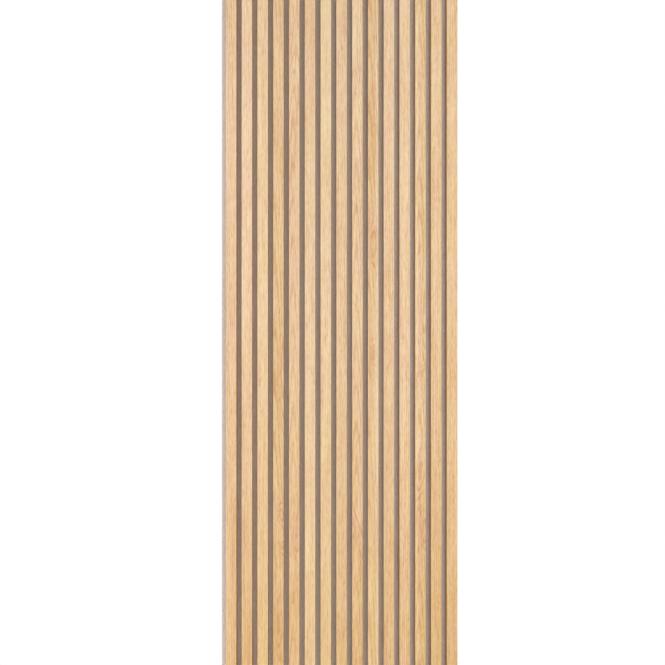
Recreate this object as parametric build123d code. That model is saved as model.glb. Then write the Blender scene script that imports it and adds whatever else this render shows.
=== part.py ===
"""Slatted acoustic wall panel: oak slats stapled side by side to a board of pressed felt.

The panel is modelled as it hangs on a wall. The origin is at the centre of the felt's back face, which lies
on the wall. +X runs across the slats to the right as seen from the room, +Z runs up the slats, and the room
is on the -Y side. All sizes are in millimetres.
"""

import os

from build123d import *

# Panel
PANEL_LENGTH = 2400.0
SLAT_COUNT = 15

# Slats: plain oak laths with eased front edges
SLAT_WIDTH = 27.0
SLAT_GAP = 13.0
SLAT_DEPTH = 12.0
SLAT_ARRIS_RADIUS = 0.8

# Felt board behind the slats
FELT_THICKNESS = 9.0

# Wire staples, driven from behind through the felt into each slat
STAPLES_PER_SLAT = 6
STAPLE_END_MARGIN = 100.0
STAPLE_CROWN = 12.8
STAPLE_LEG = 16.0
STAPLE_WIRE_WIDTH = 1.2
STAPLE_WIRE_DEPTH = 0.7
STAPLE_BEND = 0.6
STAPLE_POINT = 1.5
STAPLE_SINK = 0.4

# Worked out from the sizes above
SLAT_PITCH = SLAT_WIDTH + SLAT_GAP
PANEL_WIDTH = SLAT_COUNT * SLAT_PITCH
STAPLE_SPACING = (PANEL_LENGTH - 2 * STAPLE_END_MARGIN) / (STAPLES_PER_SLAT - 1)


def slat_centre(index):
    """X of a slat's middle. The last slat is flush on the right, which leaves a bare gap on the left."""
    right_edge = PANEL_WIDTH / 2 - (SLAT_COUNT - 1 - index) * SLAT_PITCH
    return right_edge - SLAT_WIDTH / 2


def staple_places(index):
    """Where the staples of one slat sit: a row up the middle of the slat, on the felt's back face."""
    row = GridLocations(0, STAPLE_SPACING, 1, STAPLES_PER_SLAT)
    return [Pos(slat_centre(index), 0, place.position.Y) for place in row]


def staple():
    """One staple with its crown just under the felt's back face and its legs towards the room.

    The wire is so thin that each bend is a single flat.
    """
    half_crown = STAPLE_CROWN / 2
    half_throat = half_crown - STAPLE_WIRE_DEPTH
    crown = -STAPLE_SINK
    throat = crown - STAPLE_WIRE_DEPTH
    tip = crown - STAPLE_LEG
    outline = make_face(
        Polyline(
            (-half_crown, crown),
            (half_crown, crown),
            (half_crown, tip + STAPLE_POINT),
            (half_throat, tip),
            (half_throat, throat),
            (-half_throat, throat),
            (-half_throat, tip),
            (-half_crown, tip + STAPLE_POINT),
            close=True,
        )
    )
    bends = outline.vertices().group_by(Axis.Y)[-1]
    return extrude(chamfer(bends, STAPLE_BEND), STAPLE_WIRE_WIDTH / 2, both=True)


def staple_pocket():
    """The room that one staple takes up: a slot for its crown and two holes for its legs."""
    reach = STAPLE_SINK + STAPLE_LEG
    throat_width = STAPLE_CROWN - 2 * STAPLE_WIRE_DEPTH
    hang_down = (Align.CENTER, Align.MAX)
    slot = Rectangle(STAPLE_CROWN, reach, align=hang_down)
    throat = Pos(0, -STAPLE_SINK - STAPLE_WIRE_DEPTH) * Rectangle(throat_width, reach, align=hang_down)
    return extrude(slot - throat, STAPLE_WIRE_WIDTH / 2, both=True)


def felt_backing():
    """The felt board, with the pockets that the staples have pressed into it."""
    section = Rectangle(PANEL_WIDTH, FELT_THICKNESS, align=(Align.CENTER, Align.MAX))
    board = extrude(section, PANEL_LENGTH / 2, both=True)
    pocket = staple_pocket()
    return board - [place * pocket for index in range(SLAT_COUNT) for place in staple_places(index)]


def slat(index):
    """One slat: a straight lath on the felt, eased along its two front edges and holed by its staples."""
    section = Pos(0, -FELT_THICKNESS) * Rectangle(SLAT_WIDTH, SLAT_DEPTH, align=(Align.CENTER, Align.MAX))
    front_corners = section.vertices().group_by(Axis.Y)[0]
    lath = extrude(fillet(front_corners, SLAT_ARRIS_RADIUS), PANEL_LENGTH / 2, both=True)
    pocket = staple_pocket()
    return Pos(slat_centre(index)) * lath - [place * pocket for place in staple_places(index)]


def staples():
    """All the staples, as one group of separate solids."""
    one = staple()
    return Compound([place * one for index in range(SLAT_COUNT) for place in staple_places(index)])


def main():
    os.makedirs("parts", exist_ok=True)
    nodes = {"felt_backing": felt_backing(), "staples": staples()}
    for index in range(SLAT_COUNT):
        nodes[f"slat_{index + 1:02d}"] = slat(index)
    for name, shape in nodes.items():
        export_step(shape, f"parts/{name}.step")
        print(name, len(shape.solids()), "solids,", round(shape.volume), "mm3")


main()
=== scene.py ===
# %% [markdown]
# A slatted wall panel: fifteen oak slats in a row on a board of pressed grey felt, stapled on from behind.
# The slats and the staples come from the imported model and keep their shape, so here they only get their
# finish. The felt board is soft, so it is modelled anew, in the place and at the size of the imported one.

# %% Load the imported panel
import math
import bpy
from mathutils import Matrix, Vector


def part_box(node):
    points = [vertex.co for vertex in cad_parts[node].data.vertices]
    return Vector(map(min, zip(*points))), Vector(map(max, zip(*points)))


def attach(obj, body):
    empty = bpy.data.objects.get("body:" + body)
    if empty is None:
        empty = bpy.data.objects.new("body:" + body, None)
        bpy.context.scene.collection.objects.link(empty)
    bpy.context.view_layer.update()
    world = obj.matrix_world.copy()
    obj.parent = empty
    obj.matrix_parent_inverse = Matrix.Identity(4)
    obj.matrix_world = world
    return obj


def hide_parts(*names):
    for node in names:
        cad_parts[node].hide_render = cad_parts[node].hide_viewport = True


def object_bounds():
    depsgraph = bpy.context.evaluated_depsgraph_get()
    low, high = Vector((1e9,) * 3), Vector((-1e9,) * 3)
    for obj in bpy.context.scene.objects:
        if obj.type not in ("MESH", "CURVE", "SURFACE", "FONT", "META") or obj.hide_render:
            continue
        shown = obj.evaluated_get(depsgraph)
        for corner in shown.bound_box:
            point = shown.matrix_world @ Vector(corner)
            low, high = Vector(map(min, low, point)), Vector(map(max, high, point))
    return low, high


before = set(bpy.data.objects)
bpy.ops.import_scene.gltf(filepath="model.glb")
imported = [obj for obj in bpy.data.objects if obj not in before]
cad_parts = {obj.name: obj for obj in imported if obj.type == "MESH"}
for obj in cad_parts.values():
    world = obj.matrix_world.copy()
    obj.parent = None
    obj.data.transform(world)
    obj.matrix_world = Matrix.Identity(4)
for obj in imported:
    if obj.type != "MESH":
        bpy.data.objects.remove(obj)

from types import SimpleNamespace

import bpy
from mathutils import Vector

cad_low, cad_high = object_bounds()
slats = {name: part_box(name) for name in sorted(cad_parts) if name.startswith("slat_")}
slat_pitch = slats["slat_02"][0].x - slats["slat_01"][0].x
slat_width = slats["slat_01"][1].x - slats["slat_01"][0].x
print("slats", len(slats), "pitch", round(slat_pitch, 4), "width", round(slat_width, 4))
print("packed box", cad_low, cad_high)

# %% [markdown]
# The photograph looks straight at the panel and cuts off both ends. A camera could be placed by eye, but
# the slats give its scale exactly: their pitch is known in metres and was measured in pixels. The right
# edge of the last slat then says how far the camera stands to the left of the panel's middle. The distance
# is chosen so that the felt at the left edge shows as narrow as it does in the photograph, because the
# first slat stands in front of part of it.

# %% Camera
PHOTO_SIDE_PX = 665
SLAT_PITCH_PX = 15.79
LAST_SLAT_EDGE_PX = 457.5
CAMERA_DISTANCE = 1.2
SENSOR_WIDTH_MM = 36

metres_per_px = slat_pitch / SLAT_PITCH_PX
view_side = PHOTO_SIDE_PX * metres_per_px
camera_x = cad_high.x - (LAST_SLAT_EDGE_PX - PHOTO_SIDE_PX / 2) * metres_per_px
bpy.ops.object.camera_add(
    location=(camera_x, cad_low.y - CAMERA_DISTANCE, 0),
    rotation=(math.radians(90), 0, 0),
)
camera = bpy.context.object
camera.data.sensor_width = SENSOR_WIDTH_MM
camera.data.lens = SENSOR_WIDTH_MM * CAMERA_DISTANCE / view_side
bpy.context.scene.camera = camera
bpy.context.scene.view_settings.view_transform = "Standard"
print("camera at", camera.location, "lens", round(camera.data.lens, 2), "mm, sees", round(view_side, 3), "m")

# %% [markdown]
# Every finish below is a tree of shader nodes. They could be wired by hand in the Shader Editor. In code, a
# few small helpers keep the trees short to write: one adds a node and fills its sockets, by linking where it
# is handed another node's output, one does a sum on a Math node, one turns a picture's colour into the
# numbers that shaders take, and one starts a material with no nodes.


# %% Helpers for node trees
def add_node(tree, kind, inputs=None, **settings):
    """Adds a node. inputs maps a socket's name or number to a value, or to the socket it is linked from."""
    made = tree.nodes.new(kind)
    for name, value in settings.items():
        setattr(made, name, value)
    for key, value in (inputs or {}).items():
        if isinstance(value, bpy.types.NodeSocket):
            tree.links.new(value, made.inputs[key])
        else:
            made.inputs[key].default_value = value
    return made


def calculate(tree, operation, *terms):
    """A sum on one Math node, whose terms are numbers or sockets."""
    return add_node(tree, "ShaderNodeMath", dict(enumerate(terms)), operation=operation).outputs[0]


def srgb(red, green, blue):
    """A colour as a picture shows it, 0 to 255, in the linear numbers that shaders take."""
    linear = [((value / 255 + 0.055) / 1.055) ** 2.4 for value in (red, green, blue)]
    return (*linear, 1.0)


def new_finish(name):
    """A new material and its node tree, which is empty."""
    made = bpy.data.materials.new(name)
    made.use_nodes = True
    made.node_tree.nodes.clear()
    return made, made.node_tree


print("a grey of 128 is", round(srgb(128, 128, 128)[0], 3), "in linear light")

# %% [markdown]
# The background is plain white. A white world that also lit the panel would wash out its colours, so the
# world shows white only to the camera and in reflections, and lights the panel with a weak ambient light.

# %% World
WHITE = (1, 1, 1, 1)
AMBIENT_STRENGTH = 0.09
AMBIENT_COLOUR = (1.0, 0.99, 0.97, 1.0)

world = bpy.data.worlds.new("white_studio")
world.use_nodes = True
world.node_tree.nodes.clear()
bpy.context.scene.world = world


def shows_white(tree):
    """1 for the rays that see the background itself, 0 for those that gather light from it."""
    rays = add_node(tree, "ShaderNodeLightPath").outputs
    seen = calculate(tree, "MAXIMUM", rays["Is Camera Ray"], rays["Is Glossy Ray"])
    return calculate(tree, "MAXIMUM", seen, rays["Is Transmission Ray"])


air = world.node_tree
ambient = add_node(air, "ShaderNodeBackground", {"Color": AMBIENT_COLOUR, "Strength": AMBIENT_STRENGTH})
white = add_node(air, "ShaderNodeBackground", {"Color": WHITE, "Strength": 1.0})
either = {0: shows_white(air), 1: ambient.outputs[0], 2: white.outputs[0]}
choice = add_node(air, "ShaderNodeMixShader", either)
add_node(air, "ShaderNodeOutputWorld", {"Surface": choice.outputs[0]})
print("world ambient", AMBIENT_STRENGTH)

# %% [markdown]
# In the photograph the slats are evenly lit, the felt in the gaps is dim, and the bare strip of felt at the
# left is bright. So most of the light comes from the left, low enough across the panel that the slats shade
# the gaps. A sun lamp would do that too, but it would draw a sharp line of shadow in each gap, so the lamps
# are tall soft boxes. A weaker one at the right evens out the slats. The gaps get brighter towards the
# panel's right side, so of the two weak boxes in front, the right one stands nearer and is stronger. The
# last two light the back and the top end, which the photograph doesn't show.


# %% Soft boxes
def soft_box(name, place, aim, width, height, watts):
    """A rectangular lamp at a place, turned to face another, which the camera doesn't see."""
    turn = (Vector(aim) - Vector(place)).to_track_quat("-Z", "Y").to_euler()
    bpy.ops.object.light_add(type="AREA", location=place, rotation=turn)
    lamp = bpy.context.object
    lamp.name = name
    lamp.data.shape = "RECTANGLE"
    lamp.data.size = width
    lamp.data.size_y = height
    lamp.data.energy = watts
    lamp.visible_camera = False
    print(name, "at", place, watts, "W")


soft_box("right_box", (1.4, -0.8, 0.15), aim=(0, 0, 0.1), width=0.6, height=3.4, watts=10.6)
soft_box("left_box", (-1.4, -0.8, 0.05), aim=(0, 0, 0), width=0.6, height=3.4, watts=29.4)
soft_box("front_right_box", (0.55, -0.8, 0.05), aim=(0, 0, 0), width=0.6, height=3.4, watts=8.4)
soft_box("front_left_box", (-0.6, -1.25, 0.15), aim=(0, 0, 0.1), width=0.6, height=3.4, watts=3.9)
soft_box("back_box", (-1.1, 1.7, 0.05), aim=(0, 0, 0.05), width=1.0, height=3.4, watts=55)
soft_box("top_box", (0, 0.3, 2.5), aim=(0, 0, 1.2), width=1.4, height=0.6, watts=14)

# %% [markdown]
# The panel is shown with its lower end at floor height. The floor could be one large plane, but its far side
# would show in the photograph's view. So it is a disc with its middle a little in front of the panel, small
# enough to stay below that view. Everything is deselected first, so that Apply acts on the new disc alone.

# %% Floor
FLOOR_GAP = 0.001
FLOOR_CENTRE_Y = -0.25
FLOOR_RADIUS = 0.73
FLOOR_CORNERS = 96

bpy.ops.object.select_all(action="DESELECT")
floor_height = cad_low.z - FLOOR_GAP
bpy.ops.mesh.primitive_circle_add(
    vertices=FLOOR_CORNERS,
    radius=FLOOR_RADIUS,
    fill_type="NGON",
    location=(0, FLOOR_CENTRE_Y, floor_height),
)
floor = bpy.context.object
floor.name = "floor"
bpy.ops.object.transform_apply(location=True, rotation=False, scale=False)
print("floor radius", FLOOR_RADIUS, "at height", round(floor_height, 4))

# %% [markdown]
# The floor is plain and pale, and keeps the panel's soft shadow. A disc would show a hard edge, so its paint
# fades from the middle outwards into the white of the background, for the same rays that see the world white.

# %% Floor finish
FLOOR_COLOUR = srgb(240, 240, 238)
FADE_START = 0.3 * FLOOR_RADIUS

floor_finish, tree = new_finish("pale_floor")
coords = add_node(tree, "ShaderNodeTexCoord").outputs["Object"]
from_centre = add_node(
    tree,
    "ShaderNodeMapping",
    {"Vector": coords, "Location": (0, -FLOOR_CENTRE_Y, 0), "Scale": (1, 1, 0)},
)
distance = add_node(tree, "ShaderNodeVectorMath", {0: from_centre.outputs[0]}, operation="LENGTH")
fade = add_node(
    tree,
    "ShaderNodeMapRange",
    {"Value": distance.outputs["Value"], "From Min": FADE_START, "From Max": FLOOR_RADIUS},
    interpolation_type="SMOOTHSTEP",
)
whiteness = calculate(tree, "MULTIPLY", fade.outputs[0], shows_white(tree))
paint = add_node(tree, "ShaderNodeBsdfDiffuse", {"Color": FLOOR_COLOUR})
glow = add_node(tree, "ShaderNodeEmission", {"Color": WHITE, "Strength": 1.0})
mixed = add_node(tree, "ShaderNodeMixShader", {0: whiteness, 1: paint.outputs[0], 2: glow.outputs[0]})
add_node(tree, "ShaderNodeOutputMaterial", {"Surface": mixed.outputs[0]})
floor.data.materials.append(floor_finish)
print("floor fades from", round(FADE_START, 3), "m to", FLOOR_RADIUS, "m")

# %% [markdown]
# Oak grows in rings round the heart of the tree, and a slat shows whichever rings its saw cut crossed. An
# image of oak would have to be stretched over the sides and ends, and would not agree there with the face.
# So the finish is made as a solid piece of tree: each point's distance from the heart says which ring it is
# in. The helpers here move and stretch coordinates, make noise, ease one value into another and add them up.


# %% Helpers for coordinates and numbers
def shifted(tree, coords, move=(0, 0, 0), stretch=(1, 1, 1)):
    """Coordinates moved, and stretched first, by a Mapping node."""
    made = add_node(tree, "ShaderNodeMapping", {"Vector": coords, "Location": move, "Scale": stretch})
    return made.outputs[0]


def length_of(tree, vector):
    """How long a vector is."""
    return add_node(tree, "ShaderNodeVectorMath", {0: vector}, operation="LENGTH").outputs["Value"]


def noise(tree, coords, per_metre, detail=2.0):
    """Noise from -1 to 1, with this many blotches to the metre along each axis."""
    stretched = shifted(tree, coords, stretch=per_metre)
    texture = add_node(tree, "ShaderNodeTexNoise", {"Vector": stretched, "Scale": 1.0, "Detail": detail})
    return calculate(tree, "MULTIPLY_ADD", texture.outputs[0], 2.0, -1.0)


def smooth_step(tree, value, low, high, to_low=0.0, to_high=1.0):
    """A value eased from to_low to to_high as it goes from low to high."""
    return add_node(
        tree,
        "ShaderNodeMapRange",
        {"Value": value, "From Min": low, "From Max": high, "To Min": to_low, "To Max": to_high},
        interpolation_type="SMOOTHSTEP",
    ).outputs[0]


def total(tree, *terms):
    """The sum of several sockets or numbers."""
    result = terms[0]
    for term in terms[1:]:
        result = calculate(tree, "ADD", result, term)
    return result


def scaled(tree, value, amount):
    """A socket times a number."""
    return calculate(tree, "MULTIPLY", value, amount)


print("helpers for coordinates and numbers ready")

# %% [markdown]
# Oak, felt and wire end alike: a colour, a roughness and a fine relief go into one Principled shader. Each
# tree could end with its own nodes, but shared helpers keep the three alike. A Mix node has sockets for each
# kind of data, and several share a name, so the ones for colours are reached by number.

# %% Helpers for colours and surfaces
MIX_FACTOR_SOCKET = 0
MIX_UNDER_SOCKET = 6
MIX_OVER_SOCKET = 7
MIX_RESULT_SOCKET = 2


def colour_ramp(tree, value, stops):
    """A colour looked up on a ramp of (place, colour) stops."""
    made = add_node(tree, "ShaderNodeValToRGB", {"Fac": value})
    elements = made.color_ramp.elements
    for element, (place, colour) in zip(elements, stops):
        element.position = place
        element.color = colour
    for place, colour in stops[2:]:
        elements.new(place).color = colour
    return made.outputs["Color"]


def blend(tree, factor, under, over, mode="MIX"):
    """One colour over another."""
    inputs = {MIX_FACTOR_SOCKET: factor, MIX_UNDER_SOCKET: under, MIX_OVER_SOCKET: over}
    made = add_node(tree, "ShaderNodeMix", inputs, data_type="RGBA", blend_type=mode)
    return made.outputs[MIX_RESULT_SOCKET]


def end_finish(tree, relief, bump_strength, bump_distance, inputs):
    """Ends a material's tree with a bump and a Principled shader, which has these other inputs."""
    bump = add_node(
        tree, "ShaderNodeBump", {"Strength": bump_strength, "Distance": bump_distance, "Height": relief}
    )
    surface = add_node(tree, "ShaderNodeBsdfPrincipled", {**inputs, "Normal": bump.outputs[0]})
    add_node(tree, "ShaderNodeOutputMaterial", {"Surface": surface.outputs[0]})


def give_finish(node_name, finish):
    """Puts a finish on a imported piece, whose shape stays as it is."""
    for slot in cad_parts[node_name].material_slots:
        slot.material = finish


print("helpers for colours and surfaces ready")

# %% [markdown]
# Each slat was cut from another board, so each has its own look. One material for all would repeat the same
# lines fifteen times. The cut says where the heart of the tree lay, beside or behind the slat, and how fast
# the trunk tapered: a heart far to the side gives straight lines, one close behind gives arches. A swell is
# a spot where the trunk bulged round a branch, and makes a flame. Its tilt turns the flame, and clear is how
# strongly it shows. Tone goes from deep (-1) to pale (1), and blush from yellow (-1) to pink (1). Deepen is
# how much the tone falls from the upper end to the lower, lean turns the fibres a little off the slat's
# line, and a pale edge is a stripe of sapwood, on the left (-1) or the right (1).


# %% Cuts, swells and looks
def saw_cut(across, behind, taper):
    """Where the heart of the tree lies from the slat's middle, and how fast the rings draw in upwards."""
    return SimpleNamespace(heart=(across, behind, 0), taper=taper)


def swell(across, height, wide=0.014, tall=0.10, bulge=0.012, tilt=0.0, clear=1.0):
    """A bulge in the rings, this far right of the slat's middle line and above the panel's middle."""
    return SimpleNamespace(
        across=across, height=height, wide=wide, tall=tall, bulge=bulge, tilt=tilt, clear=clear
    )


def look(tone, blush, cut, figure, deepen=0.0, lean=0.0, pale_edge=0, swells=()):
    """How one slat differs from the others. Figure is how strongly its rings show."""
    return SimpleNamespace(
        tone=tone,
        blush=blush,
        cut=cut,
        figure=figure,
        deepen=deepen,
        lean=lean,
        pale_edge=pale_edge,
        swells=swells,
    )


STRAIGHT = saw_cut(0.150, 0.050, taper=0.006)
SLANTED = saw_cut(0.060, 0.030, taper=0.014)
LEANING = saw_cut(0.012, 0.024, taper=0.030)
ARCHED = saw_cut(0.003, 0.016, taper=0.045)
print("hearts at", STRAIGHT.heart, SLANTED.heart, LEANING.heart, ARCHED.heart)

# %% [markdown]
# The looks follow the photograph from left to right. In the first five slats, the fourth is deep in tone,
# with flames all down its lower half, and the fifth has one flame near the top and one low down.

# %% Looks of slats 1 to 5
LEFT_LOOKS = [
    look(tone=0.0, blush=0.35, cut=SLANTED, figure=0.8, lean=0.015),
    look(tone=0.2, blush=0.3, cut=STRAIGHT, figure=0.6, deepen=1.0),
    look(tone=0.3, blush=-0.15, cut=STRAIGHT, figure=0.6),
    look(
        tone=-0.45,
        blush=-0.3,
        cut=LEANING,
        figure=0.9,
        swells=[
            swell(0.008, -0.12, tall=0.20, clear=0.5),
            swell(0.004, -0.46, tall=0.05, tilt=-0.1),
            swell(0.006, -0.54, tall=0.04, clear=0.7),
            swell(-0.002, -0.75, tall=0.13),
        ],
    ),
    look(
        tone=-0.02,
        blush=0.1,
        cut=ARCHED,
        figure=0.8,
        lean=-0.05,
        swells=[
            swell(-0.016, 0.76, wide=0.034, tall=0.17, clear=0.35),
            swell(0.002, -0.52, tall=0.09),
        ],
    ),
]
print("looks for", len(LEFT_LOOKS), "slats at the left")

# %% [markdown]
# Of the middle five, the first two are plain and pale. The other three have flames, and the last of them is
# deep in tone, with sapwood at its right edge.

# %% Looks of slats 6 to 10
MIDDLE_LOOKS = [
    look(tone=0.4, blush=0.1, cut=STRAIGHT, figure=0.5, deepen=-1.0),
    look(tone=0.3, blush=-0.15, cut=STRAIGHT, figure=0.5),
    look(
        tone=0.0,
        blush=0.1,
        cut=SLANTED,
        figure=0.7,
        swells=[
            swell(-0.008, 0.69, wide=0.006, tall=0.05, bulge=0.006, clear=0.7),
            swell(0.014, -0.57, wide=0.024, tall=0.12, clear=0.5),
        ],
    ),
    look(
        tone=0.15,
        blush=0.15,
        cut=ARCHED,
        figure=0.9,
        deepen=0.5,
        lean=-0.03,
        swells=[
            swell(0.014, 0.70, wide=0.032, tall=0.16, clear=0.35),
            swell(0.0, -0.51, tilt=-0.14),
        ],
    ),
    look(
        tone=-0.45,
        blush=-0.1,
        cut=LEANING,
        figure=0.9,
        deepen=-0.9,
        pale_edge=1,
        swells=[
            swell(-0.003, 0.22, tall=0.08, clear=0.7),
            swell(-0.002, -0.06, tall=0.05, clear=0.7),
            swell(0.012, -0.55, wide=0.022, tall=0.10, clear=0.6),
        ],
    ),
]
print("looks for", len(MIDDLE_LOOKS), "slats in the middle")

# %% [markdown]
# Of the last five, only the third has flames, and sapwood at its left edge. The others are straight in the
# grain, and the two at the right are deeper in tone.

# %% Looks of slats 11 to 15
RIGHT_LOOKS = [
    look(tone=0.05, blush=0.3, cut=STRAIGHT, figure=0.8, deepen=0.4),
    look(tone=0.1, blush=0.15, cut=STRAIGHT, figure=0.7),
    look(
        tone=-0.45,
        blush=-0.1,
        cut=ARCHED,
        figure=0.8,
        lean=0.02,
        pale_edge=-1,
        swells=[
            swell(0.006, 0.05, tall=0.18, clear=0.5),
            swell(0.003, -0.10, wide=0.008, tall=0.03, clear=0.8),
            swell(-0.002, -0.36, tilt=0.06, clear=0.7),
            swell(0.007, -0.51, tall=0.07),
        ],
    ),
    look(tone=-0.35, blush=-0.1, cut=STRAIGHT, figure=0.6, deepen=0.2),
    look(tone=-0.42, blush=-0.15, cut=STRAIGHT, figure=0.6, deepen=-0.1),
]
slat_looks = LEFT_LOOKS + MIDDLE_LOOKS + RIGHT_LOOKS
print("looks for", len(slat_looks), "slats in all")

# %% [markdown]
# The rings are the distance from the heart in ring widths. A Wave texture could draw rings too, but plain
# distance takes the trunk's taper, its slow wander up the slat and its swells, which are simply added to it.
# Good and bad years make the rings uneven, so the count is nudged by a noise of its own. The spring part of
# an oak ring is a band of open pores, which starts sharply and fades into the plain summer part.

# %% Rings
RING_WIDTH = 0.0048
RING_UNEVENNESS = 0.4
GOOD_YEARS_PER_RING = 0.6
SLOW_WANDER = 0.0055
SLOW_WANDERS_PER_METRE = (16, 16, 1.3)
QUICK_WANDER = 0.0012
QUICK_WANDERS_PER_METRE = (60, 60, 8)
SPRING_RISE = (0.0, 0.12)
SPRING_FALL = (0.16, 0.6)


def swell_mask(tree, place, bulge):
    """1 in the middle of a swell, easing to 0 at its rim."""
    around = add_node(
        tree,
        "ShaderNodeMapping",
        {
            "Vector": place,
            "Location": (bulge.across, 0, bulge.height),
            "Rotation": (0, bulge.tilt, 0),
            "Scale": (bulge.wide, 1, bulge.tall),
        },
        vector_type="TEXTURE",
    )
    return smooth_step(tree, length_of(tree, around.outputs[0]), 0.0, 1.0, 1.0, 0.0)


def ring_count(tree, place, grain, height, slat_look, masks):
    """How many rings each point lies out from the heart."""
    distance = total(
        tree,
        length_of(tree, shifted(tree, place, move=slat_look.cut.heart, stretch=(1, 1, 0))),
        scaled(tree, height, slat_look.cut.taper),
        scaled(tree, noise(tree, grain, SLOW_WANDERS_PER_METRE), SLOW_WANDER),
        scaled(tree, noise(tree, grain, QUICK_WANDERS_PER_METRE), QUICK_WANDER),
    )
    for mask, bulge in zip(masks, slat_look.swells):
        distance = total(tree, distance, scaled(tree, mask, bulge.bulge))
    count = calculate(tree, "DIVIDE", distance, RING_WIDTH)
    years = add_node(tree, "ShaderNodeCombineXYZ", {"X": count}).outputs[0]
    nudge = noise(tree, years, (GOOD_YEARS_PER_RING, 1, 1))
    return total(tree, count, scaled(tree, nudge, RING_UNEVENNESS))


def spring_band(tree, rings):
    """1 in the porous spring part of each ring, easing to 0 in the plain summer part."""
    part = calculate(tree, "FRACT", rings)
    rises = smooth_step(tree, part, *SPRING_RISE)
    falls = smooth_step(tree, part, *SPRING_FALL, 1.0, 0.0)
    return calculate(tree, "MULTIPLY", rises, falls)


print("rings", RING_WIDTH * 1000, "mm apart")

# %% [markdown]
# From across a room the fibres of oak read as streaks, some a few millimetres long and some as long as the
# slat. Close up, each streak is a crowd of fine dark lines that stay apart, and among them the single pores,
# cut open, are finer and shorter dashes. Dark streaks alone would look painted, so the streaks are four
# layers of noise, each stretched less than the one before, and they say how dense the lines and pores are.

# %% Fibres and pores
STREAKS_PER_METRE = [(260, 260, 2.4), (280, 280, 9), (300, 300, 30), (320, 320, 85)]
STREAK_STRENGTHS = [0.34, 0.34, 0.38, 0.38]
LAYER_STEP_ACROSS = 0.3
LAYER_STEP_ALONG = 1.0
LINES_PER_METRE = (2200, 2200, 45)
LINE_EDGE = (-0.05, 0.25)
LINE_CROWDING = (-0.4, 0.6)
PORES_PER_METRE = (4200, 4200, 140)
PORE_EDGE = (0.18, 0.32)
PORE_CROWDING = (-0.3, 0.4)


def fibre_density(tree, grain):
    """How crowded the fine lines are, about 0."""
    layers = []
    for index, (per_metre, strength) in enumerate(zip(STREAKS_PER_METRE, STREAK_STRENGTHS)):
        apart = shifted(tree, grain, move=(LAYER_STEP_ACROSS * index, 0, LAYER_STEP_ALONG * index))
        layers.append(scaled(tree, noise(tree, apart, per_metre), strength))
    return total(tree, *layers)


def fine_lines(tree, grain, density):
    """1 in the fine dark lines along the grain, which show where the density is high."""
    strands = smooth_step(tree, noise(tree, grain, LINES_PER_METRE), *LINE_EDGE)
    return calculate(tree, "MULTIPLY", strands, smooth_step(tree, density, *LINE_CROWDING))


def pore_dashes(tree, grain, density):
    """1 in still finer and shorter dashes, the single pores."""
    dashes = smooth_step(tree, noise(tree, grain, PORES_PER_METRE, detail=1.0), *PORE_EDGE)
    return calculate(tree, "MULTIPLY", dashes, smooth_step(tree, density, *PORE_CROWDING))


print("streak layers", len(STREAKS_PER_METRE))

# %% [markdown]
# All of this is put together for one slat. The spring bands crowd the fine lines: a little everywhere, more
# in the patches where the figure shows, more still in the flames, and most on the ends, where the rings are
# cut across. The face's direction tells the sawn sides and the ends from the front. It could be painted on
# the mesh instead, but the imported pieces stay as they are.

# %% The wood of one slat
BOARD_STEP = (0.37, 0.11, 2.9)
SIDE_FACING = (0.3, 0.9)
END_FACING = (0.6, 0.9)
FIGURE_PATCHES_PER_METRE = (40, 40, 2.0)
FIGURE_PATCH_EDGE = (-0.5, 0.5)
FAINTEST_FIGURE = 0.25
FLAME_FIGURE = 0.6
BAND_CROWDING = 0.6


def wood_of(tree, low, high, slat_look, seed):
    """The sockets that a slat's finish is mixed from. Each seed takes its noise from another board."""
    coords = add_node(tree, "ShaderNodeTexCoord").outputs
    place = shifted(tree, coords["Object"], move=-(low + high) / 2)
    board = tuple(seed * step for step in BOARD_STEP)
    turned = {"Vector": place, "Rotation": (0, slat_look.lean, 0), "Location": board}
    grain = add_node(tree, "ShaderNodeMapping", turned).outputs[0]
    axes = add_node(tree, "ShaderNodeSeparateXYZ", {0: place}).outputs
    facing = add_node(tree, "ShaderNodeSeparateXYZ", {0: coords["Normal"]}).outputs
    # Where a face turns sideways: these sides get painted shade, for the shade in the gaps between the slats.
    painted_shade_side = smooth_step(tree, calculate(tree, "ABSOLUTE", facing["X"]), *SIDE_FACING)
    at_end = smooth_step(tree, calculate(tree, "ABSOLUTE", facing["Z"]), *END_FACING)

    masks = [swell_mask(tree, place, bulge) for bulge in slat_look.swells]
    cleared = [scaled(tree, mask, bulge.clear) for mask, bulge in zip(masks, slat_look.swells)]
    flames = total(tree, 0.0, *cleared)
    band = spring_band(tree, ring_count(tree, place, grain, axes["Z"], slat_look, masks))
    patches = noise(tree, grain, FIGURE_PATCHES_PER_METRE)
    strength = smooth_step(tree, patches, *FIGURE_PATCH_EDGE, FAINTEST_FIGURE, 1.0)
    strength = total(tree, strength, scaled(tree, flames, FLAME_FIGURE), at_end)
    crowd = scaled(tree, calculate(tree, "MULTIPLY", band, strength), BAND_CROWDING * slat_look.figure)
    density = total(tree, fibre_density(tree, grain), crowd)
    return SimpleNamespace(
        grain=grain,
        across=axes["X"],
        height=axes["Z"],
        painted_shade_side=painted_shade_side,
        at_end=at_end,
        flames=flames,
        density=density,
        lines=fine_lines(tree, grain, density),
        pores=pore_dashes(tree, grain, density),
    )


print("boards lie", BOARD_STEP, "m apart in the noise")

# %% [markdown]
# The tone of a point is its slat's own tone, darker where fibres, lines and pores crowd and in the flames,
# with slow patches over it. It could be mixed as colours, layer on layer, but as one number it stays easy to
# balance against the photograph: each line below is one cause and how much it counts.

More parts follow.
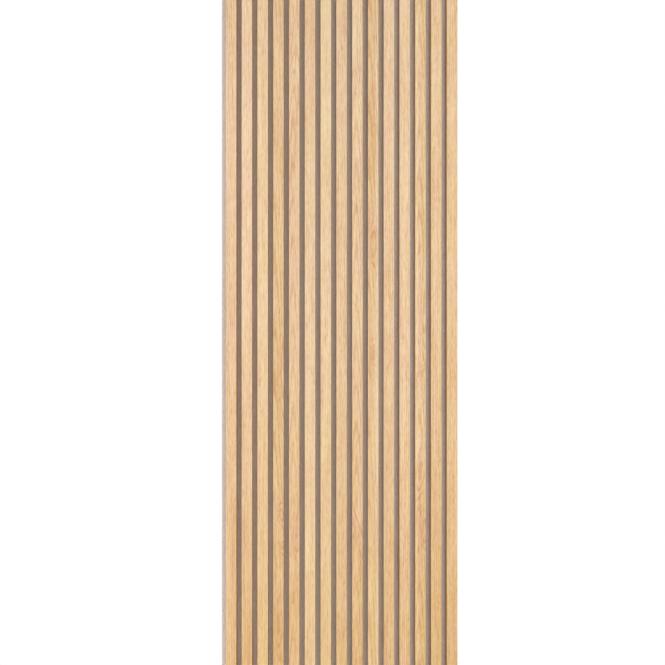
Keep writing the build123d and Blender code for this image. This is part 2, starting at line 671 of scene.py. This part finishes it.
# %% Oak tone
MIDDLE_TONE = 0.68
TONE_REACH = 0.17
DEEPEN_REACH = 0.4
DENSITY_SHADE = -0.36
LINE_SHADE = -0.55
PORE_SHADE = -0.30
FLAME_SHADE = -0.10
PATCH_SHADE = 0.16
PATCHES_PER_METRE = (34, 34, 5)
SAPWOOD_SHADE = 0.22
SAPWOOD_EDGE = (0.25, 0.75)

slat_length = cad_high.z - cad_low.z


def oak_tone(tree, wood, slat_look):
    """How pale each point is, from deep (0) to pale (1)."""
    tone = total(
        tree,
        MIDDLE_TONE + TONE_REACH * slat_look.tone,
        scaled(tree, wood.height, DEEPEN_REACH * slat_look.deepen / slat_length),
        scaled(tree, wood.density, DENSITY_SHADE),
        scaled(tree, wood.lines, LINE_SHADE),
        scaled(tree, wood.pores, PORE_SHADE),
        scaled(tree, noise(tree, wood.grain, PATCHES_PER_METRE), PATCH_SHADE),
        scaled(tree, wood.flames, FLAME_SHADE),
    )
    if slat_look.pale_edge:
        towards_edge = scaled(tree, wood.across, slat_look.pale_edge * 2 / slat_width)
        tone = total(tree, tone, smooth_step(tree, towards_edge, *SAPWOOD_EDGE, 0.0, SAPWOOD_SHADE))
    return tone


print("tone about", MIDDLE_TONE, "over slats", round(slat_length, 3), "m long")

# %% [markdown]
# A ramp from deep honey to pale straw turns tone into colour. Real oak isn't one hue, so a mottle of yellow
# and pink is multiplied over it, with the slat's own blush. Painted shade goes over that: the lower end is
# tinted warmer and darker, for the dimmer, warmer light there, and the sides are tinted darker, for the
# shade that falls in the gaps between the slats. The ends show cut fibres, which are darker too.

# %% Oak colour
OAK_DEEP = srgb(204, 151, 98)
OAK_MIDDLE = srgb(230, 200, 161)
OAK_PALE = srgb(251, 236, 209)
BLUSH_YELLOW = srgb(254, 252, 224)
BLUSH_PINK = srgb(255, 240, 247)
BLUSH_REACH = 0.8
FLAME_BLUSH = 0.6
MOTTLE = 1.5
MOTTLES_PER_METRE = (95, 95, 9)
HUE_RANGE = (-1.5, 1.5)
# Painted shade: every slat's lower end is tinted warmer and darker, for the dimmer, warmer light there.
PAINTED_LOWER_SHADE = srgb(250, 242, 220)
PAINTED_LOWER_SHADE_HEIGHTS = (0.15, -1.05)
# Painted shade: the sides are tinted darker, for the shade that falls in the gaps between the slats.
PAINTED_SIDE_SHADE = srgb(213, 194, 180)
END_GRAIN_TINT = srgb(214, 196, 172)


def oak_colour(tree, wood, slat_look):
    """The colour of each point of a slat, with painted shade towards the lower end and on the sides."""
    tone = oak_tone(tree, wood, slat_look)
    colour = colour_ramp(tree, tone, [(0.0, OAK_DEEP), (0.5, OAK_MIDDLE), (1.0, OAK_PALE)])
    hue = total(
        tree,
        scaled(tree, noise(tree, wood.grain, MOTTLES_PER_METRE), MOTTLE),
        slat_look.blush * BLUSH_REACH,
        scaled(tree, wood.flames, FLAME_BLUSH),
    )
    pinkness = smooth_step(tree, hue, *HUE_RANGE)
    blush_tint = colour_ramp(tree, pinkness, [(0.0, BLUSH_YELLOW), (1.0, BLUSH_PINK)])
    # Painted shade: the lower end is tinted warmer and darker, and the sides darker.
    painted_shade_lowness = smooth_step(tree, wood.height, *PAINTED_LOWER_SHADE_HEIGHTS)
    tints = [
        (1.0, blush_tint),
        (painted_shade_lowness, PAINTED_LOWER_SHADE),
        (wood.painted_shade_side, PAINTED_SIDE_SHADE),
        (wood.at_end, END_GRAIN_TINT),
    ]
    for amount, tint in tints:
        colour = blend(tree, amount, colour, tint, mode="MULTIPLY")
    return colour


# The height below which the painted shade makes the oak warmer and darker.
print("oak is warmer below", PAINTED_LOWER_SHADE_HEIGHTS[0], "m")

# %% [markdown]
# The slats are finished with a matt lacquer. It is thin, so the pores and lines stand in it as a fine bump
# and are a little rougher than the wood between them. They are too fine for geometry, which is why this
# relief is bump, while the eased edges of a slat are in its mesh.

# %% Oak on the slats
LACQUER_ROUGHNESS = 0.50
LINE_ROUGHNESS = 0.08
PORE_ROUGHNESS = 0.10
LINE_RELIEF = -0.3
PORE_RELIEF = -0.6
GRAIN_BUMP = 0.35
GRAIN_BUMP_DISTANCE = 0.0002
LACQUER_SPECULAR = 0.35


def oak(name, low, high, slat_look, seed):
    """The oak of one slat."""
    made, tree = new_finish(name)
    wood = wood_of(tree, low, high, slat_look, seed)
    roughness = total(
        tree,
        LACQUER_ROUGHNESS,
        scaled(tree, wood.lines, LINE_ROUGHNESS),
        scaled(tree, wood.pores, PORE_ROUGHNESS),
    )
    relief = total(tree, scaled(tree, wood.pores, PORE_RELIEF), scaled(tree, wood.lines, LINE_RELIEF))
    inputs = {
        "Base Color": oak_colour(tree, wood, slat_look),
        "Roughness": roughness,
        "Specular IOR Level": LACQUER_SPECULAR,
    }
    end_finish(tree, relief, GRAIN_BUMP, GRAIN_BUMP_DISTANCE, inputs)
    return made


for number, (name, (low, high)) in enumerate(slats.items(), start=1):
    give_finish(name, oak(f"oak_{number:02d}", low, high, slat_looks[number - 1], seed=number))
print("oak on", len(slats), "slats")

# %% [markdown]
# The felt board is pressed from shredded fibre and cut to size. A plain box would have edges as sharp as a
# knife's, which felt never has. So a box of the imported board's size has its edges rounded by a bevel, while
# there are still only twelve of them.

# %% Cut the felt board
FELT_EDGE_RADIUS = 0.0012
FELT_EDGE_SEGMENTS = 3

bpy.ops.object.select_all(action="DESELECT")
felt_low, felt_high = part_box("felt_backing")
bpy.ops.mesh.primitive_cube_add(size=1.0, location=(felt_low + felt_high) / 2, scale=felt_high - felt_low)
felt = bpy.context.object
felt.name = "felt_board"
bpy.ops.object.transform_apply(location=True, rotation=False, scale=True)
bpy.ops.object.mode_set(mode="EDIT")
bpy.ops.mesh.select_all(action="SELECT")
bpy.ops.mesh.bevel(offset=FELT_EDGE_RADIUS, segments=FELT_EDGE_SEGMENTS, affect="EDGES")
bpy.ops.object.mode_set(mode="OBJECT")
print("felt board", len(felt.data.polygons), "faces")

# %% [markdown]
# The slats press the felt flat, and between them it swells out a little. A cloth simulation could show that,
# but the swelling is the same all along a gap, so the board is cut into strips by planes along each gap,
# with Bisect, and the lines inside the gap are moved out to a shallow crown.

# %% Crown the felt in the gaps
CROWN = 0.0005
CROWN_LINES = 5
FRONT_TOLERANCE = 1e-6


def cut_board(x=None, z=None):
    """Cuts the board's faces along a plane, without parting it."""
    bpy.ops.mesh.select_all(action="SELECT")
    place, facing = ((x, 0, 0), (1, 0, 0)) if z is None else ((0, 0, z), (0, 0, 1))
    bpy.ops.mesh.bisect(plane_co=place, plane_no=facing)


def crown_height(across):
    """A parabola that is 0 at both sides of a gap, where across is 0 and 1, and CROWN in its middle."""
    return CROWN * 4 * across * (1 - across)


gap_width = slat_pitch - slat_width
gap_starts = [low.x - gap_width for low, high in slats.values()]
bpy.context.view_layer.objects.active = felt
bpy.ops.object.mode_set(mode="EDIT")
for start in gap_starts:
    for line in range(CROWN_LINES + 2):
        x = start + gap_width * line / (CROWN_LINES + 1)
        if felt_low.x + FELT_EDGE_RADIUS < x:
            cut_board(x=x)
bpy.ops.object.mode_set(mode="OBJECT")
raised = 0
for vertex in felt.data.vertices:
    across = (vertex.co.x - gap_starts[0]) % slat_pitch / gap_width
    if across < 1 and vertex.co.y < felt_low.y + FRONT_TOLERANCE:
        vertex.co.y -= crown_height(across)
        raised += 1
print("crowned", len(gap_starts), "gaps,", raised, "points moved")

# %% [markdown]
# On the back, each staple has pulled its crown into the felt and left a dimple. Cutting them out with
# booleans would leave sharp rims, so cuts beside the staples part the back into a grid that has one small
# face at each staple, and only those faces are selected.

# %% Mark the faces at the staples
STAPLES_PER_SLAT = 6
WIRE_WIDTH = 0.0012
DIMPLE_HALF_WIDTH = 0.0105
DIMPLE_HALF_HEIGHT = 0.0045
CENTRE_TOLERANCE = 0.001
FACING_BACK = 0.99

staple_low, staple_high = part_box("staples")
row_low = staple_low.z + WIRE_WIDTH / 2
row_high = staple_high.z - WIRE_WIDTH / 2
rows = [row_low + (row_high - row_low) * row / (STAPLES_PER_SLAT - 1) for row in range(STAPLES_PER_SLAT)]
columns = [(low.x + high.x) / 2 for low, high in slats.values()]

bpy.ops.object.mode_set(mode="EDIT")
for column in columns:
    for x in (column - DIMPLE_HALF_WIDTH, column + DIMPLE_HALF_WIDTH):
        cut_board(x=x)
for row in rows:
    for z in (row - DIMPLE_HALF_HEIGHT, row + DIMPLE_HALF_HEIGHT):
        cut_board(z=z)
bpy.ops.mesh.select_mode(type="FACE")
bpy.ops.mesh.select_all(action="DESELECT")
bpy.ops.object.mode_set(mode="OBJECT")
for face in felt.data.polygons:
    on_back = face.normal.y > FACING_BACK
    in_column = min(abs(face.center.x - column) for column in columns) < CENTRE_TOLERANCE
    in_row = min(abs(face.center.z - row) for row in rows) < CENTRE_TOLERANCE
    face.select = on_back and in_column and in_row
print("faces at staples", sum(face.select for face in felt.data.polygons))

# %% [markdown]
# The marked faces are inset and pressed in, a little at a time. The first inset stays flat, as a rim that
# keeps the shading of the board even, and the next ones go deeper towards the staple. The board is then
# finished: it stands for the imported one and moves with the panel.

# %% Press the dimples
DIMPLE_STEPS = [(0.0004, 0.0), (0.0008, 0.0001), (0.0008, 0.0003), (0.0006, 0.0003)]
SMOOTH_UNDER_DEGREES = 50

bpy.ops.object.mode_set(mode="EDIT")
for inset, depth in DIMPLE_STEPS:
    bpy.ops.mesh.inset(thickness=inset, depth=0, use_individual=True)
    bpy.ops.transform.translate(value=(0, -depth, 0))
bpy.ops.object.mode_set(mode="OBJECT")
pressed = sum(face.select for face in felt.data.polygons)
bpy.ops.object.shade_smooth_by_angle(angle=math.radians(SMOOTH_UNDER_DEGREES))
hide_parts("felt_backing")
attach(felt, "root")
print("dimples", pressed, "felt board", len(felt.data.polygons), "faces")

# %% [markdown]
# Pressed felt is a mat of short hairs that curl and lie every way in the board. Hair particles would be far
# too many, so three sets of fine stretched noise, each turned another way and bent by a coarser noise, stand
# for them: a hair is where the noise crosses 0.

# %% Felt hairs
SWIRLS_PER_METRE = (160, 160, 160)
HAIR_CURL = 0.006
HAIR_TURNS = (12, 74, 131)
HAIR_TILT_X = 0.3
HAIR_TILT_Z = 0.2
HAIRS_PER_METRE = (900, 900, 240)
HAIR_WIDTH = 0.14


def felt_hairs(tree, coords):
    """One socket for each set of hairs, which is 1 along the middle of a hair and 0 beside it."""
    stretched = shifted(tree, coords, stretch=SWIRLS_PER_METRE)
    swirls = add_node(tree, "ShaderNodeTexNoise", {"Vector": stretched, "Scale": 1.0, "Detail": 1.0})
    curled = add_node(
        tree,
        "ShaderNodeVectorMath",
        {0: swirls.outputs["Color"], 1: (HAIR_CURL, HAIR_CURL, HAIR_CURL), 2: coords},
        operation="MULTIPLY_ADD",
    ).outputs[0]
    sets = []
    for turn in HAIR_TURNS:
        rotation = (HAIR_TILT_X, math.radians(turn), HAIR_TILT_Z)
        inputs = {"Vector": curled, "Rotation": rotation, "Location": (turn, 0, 0)}
        turned = add_node(tree, "ShaderNodeMapping", inputs).outputs[0]
        layer = noise(tree, turned, HAIRS_PER_METRE, detail=1.0)
        sets.append(smooth_step(tree, calculate(tree, "ABSOLUTE", layer), 0.0, HAIR_WIDTH, 1.0, 0.0))
    return sets


print("sets of hairs", len(HAIR_TURNS))

# %% [markdown]
# Two sets of hairs are pale and one is dark. Softer noise stands for the clumps that the shredded stock was
# laid in, and a still slower one for drifts across the board. Felt scatters light with no shine, so it is
# fully rough, with a little sheen from the hairs that stand up.

# %% Felt
FELT_DARK = srgb(171, 164, 153)
FELT_MIDDLE = srgb(222, 215, 205)
FELT_PALE = srgb(242, 237, 229)
MIDDLE_SHADE = 0.40
PALE_HAIR_SHADE = 0.32
DARK_HAIR_SHADE = -0.22
CLUMP_SHADE = 0.24
CLUMPS_PER_METRE = (260, 260, 260)
CLUMP_RELIEF = 0.8
DRIFT_SHADE = 0.10
DRIFTS_PER_METRE = (28, 28, 18)
FELT_BUMP = 0.6
FELT_BUMP_DISTANCE = 0.0004

felt_finish, tree = new_finish("pressed_felt")
coords = add_node(tree, "ShaderNodeTexCoord").outputs["Object"]
first_hairs, second_hairs, dark_hairs = felt_hairs(tree, coords)
pale_hairs = calculate(tree, "MAXIMUM", first_hairs, second_hairs)
clumps = noise(tree, coords, CLUMPS_PER_METRE, detail=3.0)
shade = total(
    tree,
    MIDDLE_SHADE,
    scaled(tree, pale_hairs, PALE_HAIR_SHADE),
    scaled(tree, dark_hairs, DARK_HAIR_SHADE),
    scaled(tree, clumps, CLUMP_SHADE),
    scaled(tree, noise(tree, coords, DRIFTS_PER_METRE), DRIFT_SHADE),
)
relief = total(tree, pale_hairs, scaled(tree, clumps, CLUMP_RELIEF))
inputs = {
    "Base Color": colour_ramp(tree, shade, [(0.0, FELT_DARK), (0.5, FELT_MIDDLE), (1.0, FELT_PALE)]),
    "Roughness": 1.0,
    "Specular IOR Level": 0.1,
    "Sheen Weight": 0.15,
    "Sheen Roughness": 0.6,
}
end_finish(tree, relief, FELT_BUMP, FELT_BUMP_DISTANCE, inputs)
felt.data.materials.append(felt_finish)
print("felt finish on", felt.name)

# %% [markdown]
# The staples are drawn steel wire with a thin zinc coat. One grey metal would look like chrome, but drawing
# leaves fine lines along the wire and the zinc is a little cloudy, so both the colour and the roughness vary.

# %% Galvanised wire
WIRE_BRIGHT = srgb(205, 207, 208)
WIRE_CLOUDY = srgb(168, 171, 174)
CLOUDS_PER_METRE = (700, 700, 700)
CLOUD_EDGE = (-0.4, 0.5)
DRAWN_LINES_PER_METRE = (120, 5000, 5000)
BRIGHT_ROUGHNESS = 0.34
CLOUD_ROUGHNESS = 0.14
DRAWN_LINE_ROUGHNESS = 0.06
WIRE_BUMP = 0.2
WIRE_BUMP_DISTANCE = 0.00005

wire_finish, tree = new_finish("galvanised_wire")
coords = add_node(tree, "ShaderNodeTexCoord").outputs["Object"]
cloudy = smooth_step(tree, noise(tree, coords, CLOUDS_PER_METRE, detail=3.0), *CLOUD_EDGE)
drawn_lines = noise(tree, coords, DRAWN_LINES_PER_METRE, detail=1.0)
roughness = total(
    tree,
    BRIGHT_ROUGHNESS,
    scaled(tree, cloudy, CLOUD_ROUGHNESS),
    scaled(tree, drawn_lines, DRAWN_LINE_ROUGHNESS),
)
inputs = {
    "Base Color": blend(tree, cloudy, WIRE_BRIGHT, WIRE_CLOUDY),
    "Metallic": 1.0,
    "Roughness": roughness,
}
end_finish(tree, drawn_lines, WIRE_BUMP, WIRE_BUMP_DISTANCE, inputs)
give_finish("staples", wire_finish)
print("wire finish on the staples")
